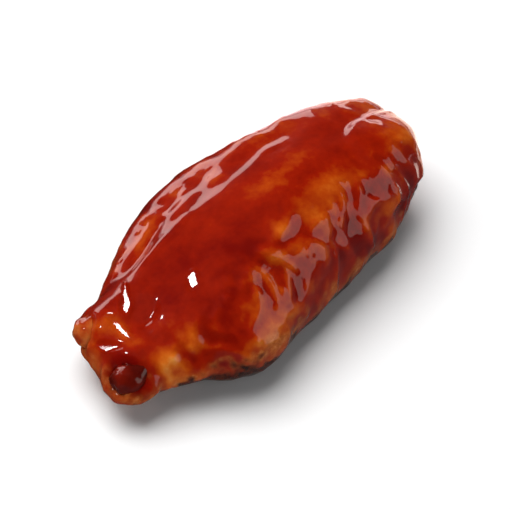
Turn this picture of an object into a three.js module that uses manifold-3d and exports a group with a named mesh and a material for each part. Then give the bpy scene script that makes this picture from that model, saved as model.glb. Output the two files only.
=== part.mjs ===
// A glazed chicken wing flat: the two-bone middle joint of the wing, cut at the wrist and at the elbow.
// It lies on its inner side with the skin side up. Millimetres, +Z up. X runs from the wrist to the elbow,
// and the origin is on the surface that it rests on, under the middle of its bounding box.

import * as THREE from "three";
import { mergeVertices } from "three/addons/utils/BufferGeometryUtils.js";
import Module from "manifold-3d";

const wasm = await Module();
wasm.setup();

// ---------- driving dimensions ----------

const wristEnd = -42.4; // where the meat ends at the wrist and at the elbow
const elbowEnd = 42.0;
const skinColor = 0x8c2608;
const boneGap = 0.3; // clearance between each bone and the meat around it
const restHeight = 0; // the underside is pressed flat at this height

// Cross-sections of the meat from the wrist (at 0) to the elbow (at 1). "far" and "near" are how far it
// reaches to +Y and -Y, "crown" is the height of its back, "belly" the height of its underside before it is
// pressed flat, and "waist" is the height where it is widest.
const sections = [
  { at: 0.0, far: 15.6, near: -12.0, crown: 17.5, belly: 3.0, waist: 8.8 },
  { at: 0.1, far: 15.2, near: -12.2, crown: 17.8, belly: 2.8, waist: 8.8 },
  { at: 0.2, far: 18.4, near: -16.2, crown: 19.5, belly: 1.6, waist: 8.8 },
  { at: 0.3, far: 21.3, near: -20.2, crown: 21.5, belly: -1.4, waist: 8.5 },
  { at: 0.42, far: 22.6, near: -19.8, crown: 24.0, belly: -2.2, waist: 9.5 },
  { at: 0.56, far: 21.2, near: -18.0, crown: 25.5, belly: -2.6, waist: 10.5 },
  { at: 0.72, far: 17.9, near: -17.8, crown: 25.5, belly: -2.4, waist: 11.0 },
  { at: 0.88, far: 16.6, near: -17.9, crown: 24.5, belly: -1.0, waist: 11.5 },
  { at: 1.0, far: 17.0, near: -17.0, crown: 22.5, belly: 1.0, waist: 11.5 },
];
const wristSlant = 0.28; // how far each end leans towards the elbow for each millimetre to the far side
const elbowSlant = 0.17;
// The wrist's underside reaches past its back, by this slope at the near side and at the far side.
const wristUndercut = { near: 0.42, far: 0.12, reach: 0.22 };
const wristBluntness = 0.3; // 0 would be a flat cut end, 1 an egg's end
const elbowBluntness = 0.58;
const bellyFlatness = 0.7; // below 1 squares the underside's edges
const farFullness = 0.66; // below 1 flattens the back and makes its shoulder tighter
const nearFullness = 0.94;

// Swellings (height above 0) and hollows (below 0) of the skin: a centre and a reach in X and Y, and the side.
const skinLobes = [
  { name: "radius line", x: 6, y: 14.5, along: 28, across: 3.0, height: 0.5, side: "crown" },
  { name: "groove beside it", x: 4, y: 10.0, along: 28, across: 2.6, height: -0.7, side: "crown" },
  { name: "ulna muscle", x: -4, y: -6, along: 20, across: 7, height: 1.0, side: "crown" },
  { name: "elbow knob, near", x: 38, y: -4.5, along: 7, across: 5.5, height: 1.6, side: "crown" },
  { name: "elbow knob, far", x: 40, y: 7, along: 6, across: 5, height: 1.4, side: "crown" },
  { name: "elbow crease", x: 33, y: 1.6, along: 8, across: 1.8, height: -0.6, side: "crown" },
  { name: "wrist hollow", x: -34, y: 1, along: 7, across: 3.5, height: -1.6, side: "crown" },
  { name: "near skin flap", x: -17, y: -19, along: 8, across: 6, height: 1.5, side: "crown" },
  { name: "groove between the bones", x: 0, y: 0.5, along: 34, across: 4, height: -3.4, side: "belly" },
];

// Puckered skin on the near side and over the elbow: lumps about this far apart and this high.
const lumpSpacing = 9.5;
const lumpHeight = 0.5;
const wristRim = { at: 0.05, reach: 0.03, swell: 0.07 }; // the rolled edge of the cut skin, as shares

const ringCount = 54;
const ringSides = 44;

// The two bones. Each runs the whole length; "bow" is how far its middle bends to the side and up.
const bones = [
  {
    name: "ulna",
    wrist: [-43.5, -4.2, 9.4],
    elbow: [40.8, -6.2, 10.8],
    bow: [0, -4.0, 1.5],
    wristHead: 3.5,
    shaft: 2.8,
    elbowHead: 5.2,
    color: 0x7a1c08,
  },
  {
    name: "radius",
    wrist: [-40.4, 8.6, 10.2],
    elbow: [42.6, 6.6, 12.5],
    bow: [0, 3.0, 1.5],
    wristHead: 3.1,
    shaft: 1.9,
    elbowHead: 3.9,
    color: 0xa03c14,
  },
];
const boneSides = 14;
const boneSteps = 28;

// ---------- meat ----------

// A smooth curve through one pair of values of the sections, with x as its first coordinate.
function sectionCurve(first, second) {
  const points = sections.map((s) => new THREE.Vector3(s.at, s[first], s[second]));
  return new THREE.CatmullRomCurve3(points, false, "catmullrom", 0.5);
}

const edgeCurve = sectionCurve("far", "near");
const heightCurve = sectionCurve("crown", "belly");
const waistCurve = sectionCurve("waist", "waist");

// The cross-section at a share of the length, 0 at the wrist and 1 at the elbow.
function sectionAt(share) {
  const last = sections.length - 1;
  const index = Math.min(last - 1, sections.findLastIndex((s) => s.at <= share));
  const low = sections[index].at;
  const high = sections[index + 1].at;
  const t = (index + (share - low) / (high - low)) / last;
  const edges = edgeCurve.getPoint(t);
  const heights = heightCurve.getPoint(t);
  return { far: edges.y, near: edges.z, crown: heights.y, belly: heights.z, waist: waistCurve.getPoint(t).y };
}

// Maps a point of a unit sphere, whose poles are the two ends, to the smooth body of the meat.
function bodyPoint(unit) {
  const share = (1 + unit.x) / 2;
  const s = sectionAt(share);
  const roundness = THREE.MathUtils.lerp(wristBluntness, elbowBluntness, share);
  const reach = Math.sqrt(Math.max(0, 1 - unit.x * unit.x));
  const rim = 1 + wristRim.swell * Math.exp(-(((share - wristRim.at) / wristRim.reach) ** 2));
  const close = rim * reach ** roundness;
  const c = reach > 0 ? unit.y / reach : 0;
  const h = reach > 0 ? unit.z / reach : 0;
  const middle = (s.far + s.near) / 2;
  const halfWidth = (s.far - s.near) / 2;
  const y = middle + halfWidth * close * c;
  const backShare = THREE.MathUtils.smoothstep(c, -0.3, 0.7);
  const crownFullness = THREE.MathUtils.lerp(nearFullness, farFullness, backShare);
  const rise = h > 0 ? (s.crown - s.waist) * h ** crownFullness : (s.belly - s.waist) * (-h) ** bellyFlatness;
  const lean = wristSlant * (1 - share) ** 2 + elbowSlant * share ** 2;
  const farShare = THREE.MathUtils.smoothstep(y, -5, 8);
  const slope = THREE.MathUtils.lerp(wristUndercut.near, wristUndercut.far, farShare);
  const undercut = slope * (1 - THREE.MathUtils.smoothstep(share, 0, wristUndercut.reach));
  const x = THREE.MathUtils.lerp(wristEnd, elbowEnd, share) + lean * y + undercut * rise * close;
  return new THREE.Vector3(x, y, s.waist + rise * close);
}

// How far the skin stands out of the smooth body at a point whose normal is given.
function lobeHeight(point, normal) {
  let height = 0;
  for (const lobe of skinLobes) {
    const facing = lobe.side === "crown" ? normal.z + 0.35 : -normal.z;
    const share = THREE.MathUtils.smoothstep(facing, 0, 0.6);
    const dx = (point.x - lobe.x) / lobe.along;
    const dy = (point.y - lobe.y) / lobe.across;
    height += lobe.height * share * Math.exp(-(dx * dx + dy * dy));
  }
  return height;
}

// Rounded lumps in rows that wander, strongest on the near side and over the elbow.
function puckerHeight(point) {
  const u = (Math.PI * point.x) / lumpSpacing;
  const v = (Math.PI * (point.y + point.z)) / lumpSpacing;
  const lumps = Math.sin(u + 1.2 * Math.sin(0.7 * v)) * Math.sin(v + 1.4 * Math.sin(0.6 * u + 1));
  const nearSide = THREE.MathUtils.smoothstep(-point.y, 2, 14);
  const elbow = THREE.MathUtils.smoothstep(point.x, 22, 36);
  return lumpHeight * lumps * Math.max(nearSide, 0.6 * elbow);
}

function meatGeometry() {
  const sphere = new THREE.SphereGeometry(1, ringSides, ringCount).rotateZ(-Math.PI / 2);
  sphere.deleteAttribute("normal");
  sphere.deleteAttribute("uv");
  const geometry = mergeVertices(sphere, 1e-5);
  const position = geometry.attributes.position;
  const point = new THREE.Vector3();
  for (let i = 0; i < position.count; i++) {
    point.fromBufferAttribute(position, i).normalize();
    position.setXYZ(i, ...bodyPoint(point));
  }
  geometry.computeVertexNormals();
  const normal = new THREE.Vector3();
  for (let i = 0; i < position.count; i++) {
    point.fromBufferAttribute(position, i);
    normal.fromBufferAttribute(geometry.attributes.normal, i);
    point.addScaledVector(normal, lobeHeight(point, normal) + puckerHeight(point));
    point.z = Math.max(point.z, restHeight);
    position.setXYZ(i, ...point);
  }
  geometry.deleteAttribute("normal");
  return geometry;
}

// ---------- bones ----------

// A bone's outline from its wrist head to its elbow head, turned round its line and then bowed along it.
function boneGeometry(bone, grow) {
  const start = new THREE.Vector3(...bone.wrist);
  const end = new THREE.Vector3(...bone.elbow);
  const bow = new THREE.Vector3(...bone.bow);
  const length = start.distanceTo(end) + 2 * grow;
  const profile = [];
  for (let i = 0; i <= boneSteps; i++) {
    const t = (1 - Math.cos((Math.PI * i) / boneSteps)) / 2;
    const towardsWrist = t < 0.5;
    const head = towardsWrist ? bone.wristHead : bone.elbowHead;
    const fromEnd = Math.min(t, 1 - t) * length;
    const ball = Math.sqrt(Math.max(0, head * head - (head - fromEnd) ** 2));
    const neck = bone.shaft + (head - bone.shaft) * Math.exp(-(((fromEnd - head) / head) ** 2));
    const thick = fromEnd < head ? ball : neck;
    profile.push(new THREE.Vector2(thick > 0 ? thick + grow : 0, (t - 0.5) * length));
  }
  const lathe = new THREE.LatheGeometry(profile, boneSides);
  lathe.deleteAttribute("normal");
  lathe.deleteAttribute("uv");
  const geometry = mergeVertices(lathe, 1e-5);
  const direction = end.clone().sub(start).normalize();
  const turn = new THREE.Quaternion().setFromUnitVectors(new THREE.Vector3(0, 1, 0), direction);
  const middle = start.clone().add(end).multiplyScalar(0.5);
  const position = geometry.attributes.position;
  const point = new THREE.Vector3();
  for (let i = 0; i < position.count; i++) {
    point.fromBufferAttribute(position, i);
    const along = (2 * point.y) / length;
    point.applyQuaternion(turn).add(middle).addScaledVector(bow, 1 - along * along);
    position.setXYZ(i, ...point);
  }
  return geometry;
}

// ---------- cuts ----------

function solidOf(geometry) {
  const mesh = new wasm.Mesh({
    numProp: 3,
    vertProperties: new Float32Array(geometry.attributes.position.array),
    triVerts: new Uint32Array(geometry.index.array),
  });
  return new wasm.Manifold(mesh);
}

function geometryOf(solid) {
  const mesh = solid.getMesh();
  const geometry = new THREE.BufferGeometry();
  geometry.setAttribute("position", new THREE.BufferAttribute(new Float32Array(mesh.vertProperties), 3));
  geometry.setIndex(new THREE.BufferAttribute(new Uint32Array(mesh.triVerts), 1));
  geometry.computeVertexNormals();
  return geometry;
}

// ---------- materials and assembly ----------

function glazed(color) {
  return new THREE.MeshStandardMaterial({ color, roughness: 0.25, metalness: 0 });
}

function namedMesh(name, geometry, material) {
  const mesh = new THREE.Mesh(geometry, material);
  mesh.name = name;
  return mesh;
}

const wing = new THREE.Group();
let meat = solidOf(meatGeometry());
for (const bone of bones) {
  meat = meat.subtract(solidOf(boneGeometry(bone, boneGap)));
  wing.add(namedMesh(bone.name, boneGeometry(bone, 0), glazed(bone.color)));
}
wing.add(namedMesh("meat", geometryOf(meat), glazed(skinColor)));

// Brings the middle of the bounding box over the origin.
const box = new THREE.Box3().setFromObject(wing);
const middle = box.getCenter(new THREE.Vector3());
for (const mesh of wing.children) mesh.geometry.translate(-middle.x, -middle.y, -box.min.z);

export default wing;
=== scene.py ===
# %% [markdown]
# # A glazed chicken wing
# One wing flat, brushed with barbecue glaze, lies on a white table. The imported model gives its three
# solids: the meat, and the two bones that run through it. They are the frame, so every piece here is
# made from them and keeps their place. The frame's own box is kept too, so that the finished look can
# be compared with it. The wing's wrist end points along -X, its thin bone lies towards +Y, and the
# camera looks from -X and -Y.

# %% Load the frame
import math

import bmesh
import bpy
import numpy as np
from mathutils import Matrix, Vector, noise


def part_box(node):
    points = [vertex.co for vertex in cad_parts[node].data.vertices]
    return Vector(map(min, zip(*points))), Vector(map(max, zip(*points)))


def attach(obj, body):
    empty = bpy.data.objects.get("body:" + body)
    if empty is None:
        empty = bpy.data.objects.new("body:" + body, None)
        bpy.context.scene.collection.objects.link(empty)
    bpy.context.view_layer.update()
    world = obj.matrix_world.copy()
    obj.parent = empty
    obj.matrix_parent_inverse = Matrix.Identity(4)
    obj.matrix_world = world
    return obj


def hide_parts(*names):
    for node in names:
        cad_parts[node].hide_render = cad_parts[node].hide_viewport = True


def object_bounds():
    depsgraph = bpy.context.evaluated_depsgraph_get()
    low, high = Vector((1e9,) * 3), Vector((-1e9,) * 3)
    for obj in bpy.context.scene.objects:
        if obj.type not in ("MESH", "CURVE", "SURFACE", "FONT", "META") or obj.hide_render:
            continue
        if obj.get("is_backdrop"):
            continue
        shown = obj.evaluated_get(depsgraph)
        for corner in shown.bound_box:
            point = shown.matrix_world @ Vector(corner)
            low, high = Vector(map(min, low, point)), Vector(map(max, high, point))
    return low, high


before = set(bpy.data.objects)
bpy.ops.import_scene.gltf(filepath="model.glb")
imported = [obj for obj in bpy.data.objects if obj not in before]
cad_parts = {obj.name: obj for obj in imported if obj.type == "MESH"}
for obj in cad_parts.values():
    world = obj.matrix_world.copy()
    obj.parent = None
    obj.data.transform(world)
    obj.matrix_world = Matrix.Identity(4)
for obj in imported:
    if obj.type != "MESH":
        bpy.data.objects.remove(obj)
cad_lo, cad_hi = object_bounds()
MM = 0.001
print("frame box, mm:", [round(v / MM, 1) for v in (*cad_lo, *cad_hi)])

# %% [markdown]
# ## Camera
# A wing lying on a table is looked down on. A long lens from more than a metre away keeps its two ends
# in proportion; a short lens from close by would swell the nearer one. The wing's wrist end points to the
# lower left.

# %% Camera
CAMERA_AZIMUTH = math.radians(-46.4)
CAMERA_ELEVATION = math.radians(48)
FRAME_WIDTH = 100 * MM
camera_data = bpy.data.cameras.new("camera")
camera_data.lens = 500
camera_data.sensor_width = 36
camera = bpy.data.objects.new("camera", camera_data)
bpy.context.collection.objects.link(camera)
toward_camera = Vector((
    math.sin(CAMERA_AZIMUTH) * math.cos(CAMERA_ELEVATION),
    -math.cos(CAMERA_AZIMUTH) * math.cos(CAMERA_ELEVATION),
    math.sin(CAMERA_ELEVATION),
))
aim = Vector((0.5 * MM, -1 * MM, 10 * MM))
camera.location = aim + toward_camera * FRAME_WIDTH * camera_data.lens / camera_data.sensor_width
camera.rotation_euler = toward_camera.to_track_quat("Z", "Y").to_euler()
bpy.context.scene.camera = camera
# level directions to the camera's right, and away from it
screen_right = Vector((math.cos(CAMERA_AZIMUTH), math.sin(CAMERA_AZIMUTH), 0))
screen_back = Vector((-math.sin(CAMERA_AZIMUTH), math.cos(CAMERA_AZIMUTH), 0))
print("camera at", [round(v, 3) for v in camera.location])

# %% [markdown]
# ## Table, surroundings and light
# A wet glaze is a mirror over a dark base, so what it mirrors matters as much as what lights it. One
# white table under one lamp would be the simple way, but it lays a milky veil over every side that faces
# down. So the table that is seen is left out of reflections, and sheets that only reflections see lie in
# its place: a pale one near the viewer, a reddish one behind the wing, as if its neighbours lay there,
# and three that glow a little, far behind, close behind and beside the elbow. They draw the bright line
# along the far edge.

# %% Table
def plain_sheet(name, size, centre, color, glow=0):
    """A square matt sheet lying flat at `centre`, in metres, which may give light of its own."""
    bpy.ops.mesh.primitive_plane_add(size=size, location=centre)
    sheet = bpy.context.object
    sheet.name = sheet.data.name = name
    paint = bpy.data.materials.new(name)
    paint.use_nodes = True
    shader = paint.node_tree.nodes["Principled BSDF"]
    shader.inputs["Base Color"].default_value = (*color, 1)
    shader.inputs["Roughness"].default_value = 0.8
    shader.inputs["Specular IOR Level"].default_value = 0
    shader.inputs["Emission Color"].default_value = (*color, 1)
    shader.inputs["Emission Strength"].default_value = glow
    sheet.data.materials.append(paint)
    sheet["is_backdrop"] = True
    return sheet


table = plain_sheet("table", 6, (0, 0, 0), (0.92, 0.92, 0.92))
table.visible_glossy = False
near_table = plain_sheet("near_table", 2, (0, -1 + 5 * MM, -0.2 * MM), (0.92, 0.9, 0.9))
floor_behind = plain_sheet("floor_behind", 2, (0, 1 + 6 * MM, -0.3 * MM), (0.4, 0.14, 0.09))
far_table = plain_sheet("far_table", 2.4, screen_back * 1.4, (1, 0.93, 0.95), glow=0.9)
side_card = plain_sheet("side_card", 60 * MM, (82 * MM, 12 * MM, 0.3 * MM), (1, 0.8, 0.7), glow=0.55)
behind_elbow = screen_right * 19 * MM + screen_back * 152 * MM + Vector((0, 0, 0.2 * MM))
back_card = plain_sheet("back_card", 60 * MM, behind_elbow, (1, 0.74, 0.74), glow=0.9)
back_card.scale.y = 4
far_table.rotation_euler.z = back_card.rotation_euler.z = CAMERA_AZIMUTH
only_in_reflections = (near_table, floor_behind, far_table, side_card, back_card)
for sheet in only_in_reflections:
    sheet.visible_camera = sheet.visible_diffuse = sheet.visible_shadow = False
print("table and", len(only_in_reflections), "sheets that only reflections see")

# %% [markdown]
# ## Room
# The room looks white to the camera, gives a weak even fill, and is nearly black in reflections, which
# keeps the top face of the wing deep red. An ordinary world colour would be the same for all three, so
# light paths choose.

# %% Room
room = bpy.data.worlds.new("room")
bpy.context.scene.world = room
room.use_nodes = True
room_nodes = room.node_tree.nodes
room_links = room.node_tree.links
room_nodes.clear()
room_output = room_nodes.new("ShaderNodeOutputWorld")
ray = room_nodes.new("ShaderNodeLightPath")
backdrop = room_nodes.new("ShaderNodeBackground")
backdrop.inputs["Color"].default_value = (1, 1, 1, 1)
fill = room_nodes.new("ShaderNodeBackground")
fill.inputs["Color"].default_value = (0.95, 0.97, 1, 1)
fill.inputs["Strength"].default_value = 0.08
dark_room = room_nodes.new("ShaderNodeBackground")
dark_room.inputs["Color"].default_value = (1, 0.8, 0.7, 1)
dark_room.inputs["Strength"].default_value = 0.012
seen_in_gloss = room_nodes.new("ShaderNodeMixShader")
seen_by_camera = room_nodes.new("ShaderNodeMixShader")
room_links.new(ray.outputs["Is Glossy Ray"], seen_in_gloss.inputs[0])
room_links.new(fill.outputs[0], seen_in_gloss.inputs[1])
room_links.new(dark_room.outputs[0], seen_in_gloss.inputs[2])
room_links.new(ray.outputs["Is Camera Ray"], seen_by_camera.inputs[0])
room_links.new(seen_in_gloss.outputs[0], seen_by_camera.inputs[1])
room_links.new(backdrop.outputs[0], seen_by_camera.inputs[2])
room_links.new(seen_by_camera.outputs[0], room_output.inputs["Surface"])
bpy.context.scene.view_settings.view_transform = "Standard"
print("room of", len(room_nodes), "nodes")

# %% [markdown]
# ## Lamps
# Three soft lamps light the wing and make its shadow, and reflections don't see them. The other lamps do
# only the mirroring: two screens low behind the wing give the long pale streaks on its far shoulder, a
# window at its right gives the pale patches on the puckered near side, and a small lamp gives the few
# hard sparks. One large softbox could do both jobs, but then the streaks would set the shadow.

# %% Lamps
def lamp(name, across, back, up, size, power, height=None, color=(1, 1, 1), lights=True, mirrored=True):
    """A square or oblong lamp placed from the wing in camera terms, in metres, and turned to face it."""
    data = bpy.data.lights.new(name, "AREA")
    data.shape = "RECTANGLE"
    data.size = size
    data.size_y = height or size
    data.energy = power
    data.color = color
    obj = bpy.data.objects.new(name, data)
    bpy.context.collection.objects.link(obj)
    obj.location = screen_right * across + screen_back * back + Vector((0, 0, up))
    obj.rotation_euler = (obj.location - aim).to_track_quat("Z", "Y").to_euler()
    obj.visible_glossy = mirrored
    obj.visible_diffuse = lights
    print(name, "at", [round(v, 2) for v in obj.location])


lamp("big lamp", -0.25, 0.25, 1.0, 1.1, 16.5, mirrored=False)
lamp("front lamp", 0.35, -0.7, 0.55, 0.5, 1.2, mirrored=False)
lamp("left lamp", -0.8, -0.35, 0.35, 0.5, 0.9, mirrored=False)
lamp("screen behind", -0.36, 0.85, 0.17, 0.74, 2.15, height=0.3, color=(1, 0.82, 0.79), lights=False)
lamp("low screen", 0.2, 0.85, 0.05, 0.3, 0.24, height=0.08, color=(1, 0.82, 0.79), lights=False)
lamp("window", 1.0, -0.2, 0.56, 1.2, 3.3, height=0.8, color=(0.96, 0.93, 0.87), lights=False)
lamp("spark lamp", -0.6, 0.063, 0.8, 0.1, 1.3, lights=False)

# %% [markdown]
# ## The meat as one soft body
# The meat's solid has a channel for each bone. A copy of it, joined with slightly fatter copies of the
# bones, has no channels left. The copies are cut short at both ends, and most at the wrist, where the bone
# heads show. A voxel remesh then skins the whole lump evenly, smoothing takes the solid's facets away, and
# one subdivision gives enough points to model the skin and the glaze on. A subdivision cage drawn by hand
# would be lighter, but it couldn't follow the solid this closely.

# %% Helpers for meshes
def copy_of_node(node, name):
    """A merged copy of a node's mesh, as a new object."""
    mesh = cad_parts[node].data.copy()
    mesh.name = name
    mesh.materials.clear()
    form = bmesh.new()
    form.from_mesh(mesh)
    bmesh.ops.remove_doubles(form, verts=form.verts, dist=0.001 * MM)
    form.to_mesh(mesh)
    form.free()
    obj = bpy.data.objects.new(name, mesh)
    bpy.context.collection.objects.link(obj)
    return obj


def bake(obj):
    """Applies an object's modifiers to its mesh."""
    bpy.context.view_layer.update()
    finished = bpy.data.meshes.new_from_object(obj.evaluated_get(bpy.context.evaluated_depsgraph_get()))
    finished.name = obj.name
    obj.modifiers.clear()
    obj.data = finished


def points_of(mesh):
    """The mesh's points, in millimetres."""
    flat = np.empty(len(mesh.vertices) * 3)
    mesh.vertices.foreach_get("co", flat)
    return flat.reshape(-1, 3) / MM


def normals_of(mesh):
    """The normals at the mesh's points."""
    flat = np.empty(len(mesh.vertices) * 3)
    mesh.vertices.foreach_get("normal", flat)
    return flat.reshape(-1, 3)


def set_points(mesh, points):
    """Moves the mesh's points to `points`, in millimetres."""
    mesh.vertices.foreach_set("co", (points * MM).ravel())
    mesh.update()


# %% Join meat and bones, and remesh
FATTENED = 0.6 * MM  # more than the gap round each bone, so that the bones and the meat become one
SKIN_GRID = 0.75 * MM
meat = copy_of_node("meat", "glazed_meat")
lump = bmesh.new()
lump.from_mesh(meat.data)
for node, wrist_trim, elbow_trim in (("ulna", 7.5, 1.5), ("radius", 4.5, 1.5)):
    plug = copy_of_node(node, "plug")
    low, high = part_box(node)
    core = bmesh.new()
    core.from_mesh(plug.data)
    for vert in core.verts:
        vert.co += vert.normal * FATTENED
    for place, outward in ((low.x + wrist_trim * MM, -1), (high.x - elbow_trim * MM, 1)):
        cut = bmesh.ops.bisect_plane(
            core, geom=core.verts[:] + core.edges[:] + core.faces[:], dist=0, clear_outer=True,
            plane_co=(place, 0, 0), plane_no=(outward, 0, 0),
        )
        rim = [g for g in cut["geom_cut"] if isinstance(g, bmesh.types.BMEdge)]
        bmesh.ops.holes_fill(core, edges=rim)
    core.to_mesh(plug.data)
    core.free()
    lump.from_mesh(plug.data)
    bpy.data.objects.remove(plug)
lump.to_mesh(meat.data)
lump.free()
remesh = meat.modifiers.new("skin over", "REMESH")
remesh.mode = "VOXEL"
remesh.voxel_size = SKIN_GRID
relax = meat.modifiers.new("relax", "SMOOTH")
relax.iterations = 22
relax.factor = 0.5
finer = meat.modifiers.new("finer", "SUBSURF")
finer.levels = finer.render_levels = 1
bake(meat)
print("meat:", len(meat.data.vertices), "points,", len(meat.data.polygons) * 2, "triangles")

# %% [markdown]
# ## Cooked skin
# Roasting shrinks the skin and puckers it. Over the broad back it is drawn smooth, on the near side and
# at both ends it gathers into lumps and folds, and small bumps show where the feathers were. Sculpting by
# hand would give this too, but not the same result twice, so each kind of unevenness is a noise of its
# own size and place, and their sum is a height along each point's normal.

# %% Noise over the points
def smooth_noise(points, size, seed):
    """Rolling noise from -1 to 1, with features about `size` millimetres across, in all or in each axis."""
    spots = points / np.asarray(size) + seed * 17.3
    return np.array([noise.noise(Vector(spot)) for spot in spots])


def ridged(values):
    """Turns rolling noise into narrow ridges of height 1 where it crosses zero."""
    return 1 - np.minimum(1, np.abs(values) * 3.2)


def bumps(points, spacing, share, seed):
    """Round bumps of height 1, `spacing` millimetres apart, each with a radius of `share` of that."""
    spots = points / spacing + seed * 5.7
    nearest = np.array([noise.voronoi(Vector(spot))[0][0] for spot in spots])
    return np.maximum(0, 1 - (nearest / share) ** 2)


def between(values, low, high):
    """0 below `low`, 1 above `high`, with a soft step between them."""
    t = np.clip((values - low) / (high - low), 0, 1)
    return t * t * (3 - 2 * t)


# %% The near corner of the elbow end, rounder than on the solid
ELBOW_CORNER = 31.5  # millimetres out from the middle, to the camera's right


def tucked(points):
    """Draws in what stands out past ELBOW_CORNER, gently at first."""
    outward = np.array(screen_right)
    beyond = np.maximum(points @ outward - ELBOW_CORNER, 0)
    return points - np.outer(0.55 * beyond**2 / (beyond + 0.8), outward)


# %% Where each kind of skin is
skin = meat.data
rest_points = tucked(points_of(skin))
rest_normals = normals_of(skin)
x, y, z = rest_points.T
drift = smooth_noise(rest_points, 14, 1)
near_side = between(-y + 3 * drift, 4, 12) * between(rest_normals[:, 2], -0.6, 0.1)
wrist = between(-x + 2 * drift, 22, 32)
elbow = between(x + 3 * drift, 27, 36)
far_side = between(y + 2 * drift, 6, 13)
underside = between(-rest_normals[:, 2], 0.2, 0.7)
puckered = np.clip(near_side + 0.35 * wrist + 0.55 * elbow + 0.6 * far_side + 0.5 * underside, 0, 1)
print("puckered share of the skin:", round(float(puckered.mean()), 2))

# %% Bone heads at the wrist
heads = {}
for node in ("ulna", "radius"):
    bone_points = points_of(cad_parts[node].data)
    head = bone_points[bone_points[:, 0] < bone_points[:, 0].min() + 6]
    radius = 0.5 * np.ptp(head[:, 1])
    middle = head[:, 1:].min(axis=0) / 2 + head[:, 1:].max(axis=0) / 2
    heads[node] = np.array([head[:, 0].min() + radius, *middle]), radius
    print(node, "head at", heads[node][0].round(1), "mm, with a radius of", radius.round(1))

# %% Unevenness of the skin, in millimetres
warp = np.stack([smooth_noise(rest_points, 9, 2 + i) for i in range(3)], axis=1)
wandering = rest_points + 3.5 * warp  # so that no lump or crease runs straight
broad_lumps = smooth_noise(wandering, 12, 6) * (0.3 + 0.7 * puckered)
small_lumps = smooth_noise(wandering, 5.6, 7) * puckered
folds = (ridged(smooth_noise(wandering, (4.5, 11, 11), 8)) - 0.4) * near_side
creases = ridged(smooth_noise(wandering, (2.4, 6, 6), 13)) * near_side
pimples = bumps(rest_points + 0.8 * warp, 3.1, 0.42, 3) * (0.03 + 0.97 * puckered)
grit = smooth_noise(rest_points, (1.5, 2.6, 2.6), 12) * (0.06 + 0.94 * puckered)
height = 0.45 * broad_lumps + 0.7 * small_lumps + 0.5 * folds - 0.16 * creases
height += 0.24 * pimples + 0.17 * grit
pressed_flat = between(2.5 - z, 0, 1.5)  # where the wing lies on the table
height *= 1 - 0.75 * pressed_flat
print("skin stands from", round(float(height.min()), 2), "to", round(float(height.max()), 2), "mm")

# %% [markdown]
# ## Folds, swellings and collars
# A ridge runs over the thin bone with a hollow beside it, the elbow end is a lobe of its own, and the
# meat has drawn back into a rolled collar round each bone head. These are forms of the meat itself, so
# they are kept apart from the skin's unevenness: the glaze follows them instead of filling them. Each is
# a soft hill or a soft step, which is easier to place than a sculpted stroke.

# %% Helpers for placing forms
def hill(values, centre, width):
    """A smooth hill of height 1 at `centre`."""
    return np.exp(-(((values - centre) / width) ** 2))


def turned(u, v, degrees):
    """Distances along and across a line that is turned by `degrees` from the wing's length."""
    cosine, sine = math.cos(math.radians(degrees)), math.sin(math.radians(degrees))
    return u * cosine + v * sine, v * cosine - u * sine


# %% Folds and swellings
faces_up = between(rest_normals[:, 2], 0.1, 0.5)
along_only = rest_points * (1, 0, 0)
wobble = 0.6 * smooth_noise(along_only, 13, 9) + 0.45 * smooth_noise(along_only, 5, 10)
SWELLINGS = (  # x, y, turn in degrees, reach along, reach across, height
    (27, 12.5, 0, 13, 3.4, 1.2), (29, 8.5, 0, 8, 4, 0.8), (13, 7.4, 4, 5, 1.2, 0.3),
    (-1.5, 14.2, 0, 8, 4.6, -1.7), (-17, 12.0, 14, 8, 1.5, -0.75), (-18, 13.8, 6, 10, 3.4, -0.75),
    (-16, 8.7, -4, 10, 1.2, 0.35), (-29.5, 6.0, 0, 5, 3.8, 0.9), (0.5, -14, 0, 4.5, 3, 0.8),
)
form = np.zeros(len(x))
for centre_x, centre_y, turn, along, across, lift in SWELLINGS:
    u, v = turned(x - centre_x, y - centre_y + wobble, turn)
    form += lift * hill(u, 0, along) * hill(v, 0, across) * faces_up
lobe_edge = 1.8 - 0.06 * np.clip(33 - x, 0, None) ** 2
elbow_lobe = between(x - 0.3 * y, 25, 29.5) * between(lobe_edge - y, -1.2, 1.2)
form += 0.9 * elbow_lobe * between(rest_normals[:, 2], 0, 0.4)
far_flank = hill(x, -10, 13) * between(rest_normals[:, 1], 0.55, 0.9)
form += 0.8 * far_flank
print("folds and swellings from", round(float(form.min()), 2), "to", round(float(form.max()), 2), "mm")

# %% Collars of meat round the bone heads
collar = np.zeros(len(x))
for centre, radius in heads.values():
    away = np.linalg.norm(rest_points - centre, axis=1)
    open_above = 1 - 0.85 * between(z - centre[2], 0.3, 2.6)
    collar = np.maximum(collar, hill(away, radius + 1.5, 1.1) * open_above)
collar *= between(-x, 30, 36) * (0.7 + 0.6 * smooth_noise(rest_points, 3.2, 31))
collar *= 0.35 + 0.65 * between(z, 4, 8)
form += 0.9 * collar
for centre, radius in heads.values():  # the skin next to each head closes in on it
    inwards = centre - rest_points
    away = np.linalg.norm(inwards, axis=1)
    rest_points += inwards / away[:, None] * (0.8 * hill(away, radius + 0.7, 0.8))[:, None]
print("collar on", round(float((collar > 0.3).mean()), 3), "of the skin")

# %% [markdown]
# ## Glaze
# The glaze is a thick syrup. It fills the hollows, thins out over the high places and draws a soft skin
# over both. Its level is the skin's height averaged with the points around it, a little higher, and
# wherever the skin stands above that level only a thin coat is left. A fluid simulation would level it
# too, but far more slowly. The depth from the level down to the skin is kept on the points for the
# colour: deep glaze is dark red, thin glaze lets the golden skin through.

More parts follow.
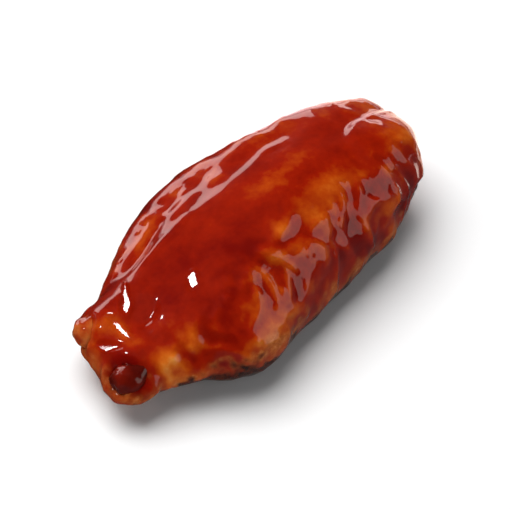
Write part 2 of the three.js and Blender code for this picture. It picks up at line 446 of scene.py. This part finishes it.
# %% Averaging over the mesh
edge_ends = np.empty(len(skin.edges) * 2, dtype=np.int64)
skin.edges.foreach_get("vertices", edge_ends)
edge_ends = edge_ends.reshape(-1, 2)
neighbour_count = np.bincount(edge_ends.ravel(), minlength=len(skin.vertices))


def averaged(values, rounds):
    """Each point's value averaged with its neighbours', over and over."""
    for _ in range(rounds):
        total = np.bincount(edge_ends[:, 0], values[edge_ends[:, 1]], len(values))
        total += np.bincount(edge_ends[:, 1], values[edge_ends[:, 0]], len(values))
        values = 0.5 * values + 0.5 * total / neighbour_count
    return values


print("edges:", len(edge_ends))

# %% Level the glaze, in millimetres
THIN_COAT = 0.05
BRIM = 0.03  # how far the level stands over the averaged skin
SOFTNESS = 0.09  # half the span over which the pools run into the thin coat
SUNK = 0.25  # so that skin and glaze together stand where the solid's surface was
level = averaged(height, 34) + BRIM
pool = level - height - THIN_COAT
step = np.clip(0.5 + pool / (2 * SOFTNESS), 0, 1)
surface = height + THIN_COAT + step * pool + SOFTNESS * step * (1 - step)
surface = averaged(surface, 3)
glazed_points = rest_points + rest_normals * (form + surface - SUNK)[:, None]
print("glaze stands from", round(float(surface.min()), 2), "to", round(float(surface.max()), 2), "mm")

# %% [markdown]
# ## Sparks
# Syrup that has set over a lump leaves small flat faces, and one that leans just right shows the whole
# small lamp as a hard spark. On a round surface such a spark would be a dot wherever the curve happens to
# lean right. So a few flats are pressed into the glaze with the lean that mirrors the lamp, and one that
# leans past it.

# %% Flats that catch the light
TO_LAMP = (0.553, 0)  # rise for each millimetre towards the elbow, and towards the far side
AWAY = (0.5, 0.16)  # just misses the lamp
FLATS = (  # x, y, turn in degrees, reach along, reach across, rises
    (-28.6, 0.9, 44, 2.6, 2.0, AWAY), (-19.3, -3.2, 44, 1.8, 0.95, TO_LAMP),
    (-29.1, 5.5, 44, 2.6, 0.55, TO_LAMP), (-30.5, 3.9, 44, 1.2, 1.0, TO_LAMP),
    (-34.5, 1.6, 84, 3.2, 0.65, TO_LAMP), (-39.0, 2.0, -56, 3.4, 0.8, TO_LAMP),
)
for centre_x, centre_y, turn, along, across, rises in FLATS:
    to_elbow, to_far_side = glazed_points[:, 0] - centre_x, glazed_points[:, 1] - centre_y
    u, v = turned(to_elbow, to_far_side, turn)
    reach = np.hypot(u / along, v / across)  # 1 on the rim of the flat
    share = (1 - between(reach, 0.85, 1.7)) * faces_up
    middle_height = np.average(glazed_points[:, 2], weights=hill(reach, 0, 0.5) * faces_up)
    flat = middle_height + rises[0] * to_elbow + rises[1] * to_far_side
    glazed_points[:, 2] += share * (flat - glazed_points[:, 2])
set_points(skin, glazed_points)
print(len(FLATS), "flats")

# %% How deep the glaze is, for its colour
THIN_AND_DEEP_PLACES = (  # x, y, reach along, reach across, how much deeper (or thinner) the glaze is there
    (3, -9.5, 9, 4, -0.28), (13, -8.5, 6, 3.5, -0.25), (7, 0.5, 9, 2.6, -0.17), (20, -7, 4, 3, -0.15),
    (-31.5, -11.5, 8, 4.5, -0.38), (-13, -18.5, 6, 4, -0.3), (-38, 5, 5, 6, -0.3), (30, -16, 8, 5, -0.2),
    (39, -2, 4, 7, -0.25), (24, 7, 12, 4, -0.06), (-8, 15, 14, 3, -0.1), (-9, -12, 4, 3, -0.22),
    (-11, -4, 11, 6, 0.22), (-22, 4, 8, 5, 0.14), (-24, -9, 4, 5, 0.14),
    (-40, -4, 2.5, 3, 0.3), (-41.5, -8, 3, 3, 0.3), (1, -17, 7, 5, -0.28),
)
USUAL_DEPTH = 0.7
depth = USUAL_DEPTH + 0.9 * averaged(surface - height, 6) - 0.35 * averaged(height, 12)
mottle = smooth_noise(wandering, 7, 21) + 0.6 * smooth_noise(wandering, 3.2, 22)
depth += (0.13 + 0.2 * puckered) * mottle
for place_x, place_y, along, across, change in THIN_AND_DEEP_PLACES:
    depth += change * hill(x, place_x, along) * hill(y, place_y, across)
depth = np.clip(depth, 0.02, 2)
print("glaze depth from", round(float(depth.min()), 2), "to", round(float(depth.max()), 2), "mm")

# %% Where the rim is dry, and where it is darker low down
ragged = smooth_noise(rest_points, 4, 41) + 0.6 * smooth_noise(rest_points, 1.6, 42)
low_rim = near_side + 0.6 * far_side + 0.5 * wrist + 0.4 * elbow
dry_below = 11.5 + 2.6 * hill(x, -14, 8)  # millimetres above the table
crust = between(dry_below - z + 3.4 * ragged, 0, 4) * np.clip(low_rim, 0, 1) * (0.75 + 0.6 * ragged)
crust = np.maximum(crust, 0.9 * ragged * collar)
# The skin gets a near-black colour below this wavy height over the table, more on the near side.
dark_below = 7.8 + 3.4 * hill(x, -22, 9)  # millimetres above the table
dark_low_band = between(dark_below - z + 3.2 * ragged, 0, 2) * (0.3 + 0.7 * between(-y, 4, 12))
crust = np.clip(crust, 0, 1)
dark_low_band = np.clip(dark_low_band, 0, 1)
for name, values in (("depth", depth), ("crust", crust), ("dark_low_band", dark_low_band)):
    skin.attributes.new(name, "FLOAT", "POINT").data.foreach_set("value", values)
crusty, dark_low_share = (round(float((share > 0.5).mean()), 2) for share in (crust, dark_low_band))
print("crust on", crusty, "and char on", dark_low_share, "of the skin")

# %% [markdown]
# ## What the glaze looks like
# Light goes through the syrup twice, down to the skin and back, and loses its green and blue first. So
# the colour is a ramp over the glaze's depth: golden skin, orange, red, and a dark red where it pools. Dry
# crust, and a near-black colour low down on the rim, are mixed over it, a clear coat is the wet surface,
# and a little light spreads under the skin.

# %% Glaze and skin material
GLAZE_STOPS = (  # depth over the deepest, and the colour there
    (0.0, (0.68, 0.27, 0.05)),
    (0.13, (0.60, 0.135, 0.010)),
    (0.26, (0.45, 0.056, 0.0022)),
    (0.42, (0.295, 0.0095, 0.0006)),
    (0.62, (0.175, 0.0024, 0.0004)),
    (1.0, (0.10, 0.0012, 0.0004)),
)
CRUST_STOPS = ((0.3, (0.24, 0.04, 0.006)), (0.5, (0.43, 0.10, 0.015)), (0.74, (0.6, 0.22, 0.06)))
# Near black to dark brown, for the skin low down on the rim.
DARK_LOW_STOPS = ((0.35, (0.025, 0.005, 0.003)), (0.75, (0.14, 0.024, 0.008)))
DEEPEST_GLAZE = 1.6  # in millimetres, as the depth attribute is


def glazed(name, stops):
    """A wet glazed material whose colour follows the piece's depth and crust attributes, and the one that
    lays a near-black colour low on the rim.
    """
    paint = bpy.data.materials.new(name)
    paint.use_nodes = True
    nodes = paint.node_tree.nodes
    links = paint.node_tree.links
    shader = nodes["Principled BSDF"]

    def value(attribute):
        node = nodes.new("ShaderNodeAttribute")
        node.attribute_name = attribute
        return node.outputs["Fac"]

    def arithmetic(operation, first, second, third=None):
        node = nodes.new("ShaderNodeMath")
        node.operation = operation
        for socket, source in zip(node.inputs, (first, second, third)):
            if isinstance(source, (int, float)):
                socket.default_value = source
            elif source is not None:
                links.new(source, socket)
        return node.outputs[0]

    def mixed(factor, first, second):
        node = nodes.new("ShaderNodeMix")
        node.data_type = "RGBA"
        links.new(factor, node.inputs["Factor"])
        links.new(first, node.inputs["A"])
        links.new(second, node.inputs["B"])
        return node.outputs["Result"]

    def ramp(source, ramp_stops):
        node = nodes.new("ShaderNodeValToRGB")
        while len(node.color_ramp.elements) < len(ramp_stops):
            node.color_ramp.elements.new(0.5)
        for element, (position, color) in zip(node.color_ramp.elements, ramp_stops):
            element.position = position
            element.color = (*color, 1)
        links.new(source, node.inputs[0])
        return node.outputs["Color"]

    place = nodes.new("ShaderNodeTexCoord").outputs["Object"]

    def grain(scale, detail, roughness=0.5):
        node = nodes.new("ShaderNodeTexNoise")
        node.inputs["Scale"].default_value = scale
        node.inputs["Detail"].default_value = detail
        node.inputs["Roughness"].default_value = roughness
        links.new(place, node.inputs["Vector"])
        return node.outputs["Fac"]

    streaky = arithmetic("MULTIPLY_ADD", grain(260, 4), 0.44, -0.22)
    streaky = arithmetic("ADD", streaky, arithmetic("MULTIPLY_ADD", grain(900, 3), 0.24, -0.12))
    share = arithmetic("DIVIDE", arithmetic("ADD", value("depth"), streaky), DEEPEST_GLAZE)
    wet = ramp(share, stops)
    dry = ramp(grain(700, 4, 0.65), CRUST_STOPS)
    # The near-black colour for the skin low down on the rim.
    dark_low_colour = ramp(grain(1100, 4, 0.6), DARK_LOW_STOPS)
    links.new(mixed(value("dark_low_band"), mixed(value("crust"), wet, dry), dark_low_colour), shader.inputs["Base Color"])
    matt = arithmetic("MAXIMUM", value("crust"), value("dark_low_band"))
    links.new(arithmetic("MULTIPLY_ADD", matt, 0.2, 0.38), shader.inputs["Roughness"])
    bump = nodes.new("ShaderNodeBump")
    bump.inputs["Strength"].default_value = 0.6
    bump.inputs["Distance"].default_value = 0.25 * MM
    coarseness = arithmetic("ADD", matt, 0.15)
    links.new(arithmetic("MULTIPLY", grain(1400, 4, 0.6), coarseness), bump.inputs["Height"])
    links.new(bump.outputs["Normal"], shader.inputs["Normal"])
    shader.inputs["Specular IOR Level"].default_value = 0.03
    shader.inputs["Coat Weight"].default_value = 1
    shader.inputs["Coat Roughness"].default_value = 0.05
    shader.inputs["Coat IOR"].default_value = 1.5
    shader.inputs["Subsurface Weight"].default_value = 0.15
    shader.inputs["Subsurface Radius"].default_value = (1.0, 0.25, 0.1)
    shader.inputs["Subsurface Scale"].default_value = 2 * MM
    return paint


meat.data.materials.append(glazed("glaze over skin", GLAZE_STOPS))
meat.data.shade_smooth()
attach(meat, "root")
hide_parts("meat")
print(meat.name, "is painted with", meat.data.materials[0].name)

# %% [markdown]
# ## Bone heads
# At the wrist the two bones end in small rounded heads, under the same glaze. Each is a copy of its
# bone's solid, subdivided until it is round, and made a little uneven, as gristle is. Only the heads
# show.

# %% Bones
BONE_STOPS = (
    (0.0, (0.55, 0.16, 0.03)),
    (0.2, (0.36, 0.035, 0.004)),
    (0.4, (0.2, 0.008, 0.002)),
    (1.0, (0.05, 0.002, 0.001)),
)
bone_paint = glazed("glaze over bone", BONE_STOPS)
for seed, (node, glaze_on_head) in enumerate((("ulna", 1.2), ("radius", 0.35))):
    bone = copy_of_node(node, "glazed_" + node)
    rounder = bone.modifiers.new("rounder", "SUBSURF")
    rounder.levels = rounder.render_levels = 2
    bake(bone)
    at = tucked(points_of(bone.data))
    lumps = 0.5 * smooth_noise(at, 2.6, 51 + seed) + 0.15 * smooth_noise(at, 1.1, 61 + seed)
    set_points(bone.data, at + normals_of(bone.data) * lumps[:, None])
    bone_depth = glaze_on_head + 0.5 * smooth_noise(at, 3, 71 + seed) - 0.25 * lumps
    bone_depth = np.clip(bone_depth, 0.05, 1.5)
    bone.data.attributes.new("depth", "FLOAT", "POINT").data.foreach_set("value", bone_depth)
    bone.data.materials.append(bone_paint)
    bone.data.shade_smooth()
    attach(bone, "root")
    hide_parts(node)
    print(bone.name, len(bone.data.vertices), "points")

# %% [markdown]
# ## Sizes
# The look may stand a little past the frame, because it bulges where the solid is plain. Both boxes are
# measured, and the last call prints how far the look's box stands past the frame's.

# %% Measure and finish
look_lo, look_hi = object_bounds()
past = [round((look - cad) / MM, 2) for cad, look in zip((*cad_lo, *cad_hi), (*look_lo, *look_hi))]
print("the look's box less the frame's, mm:", past)
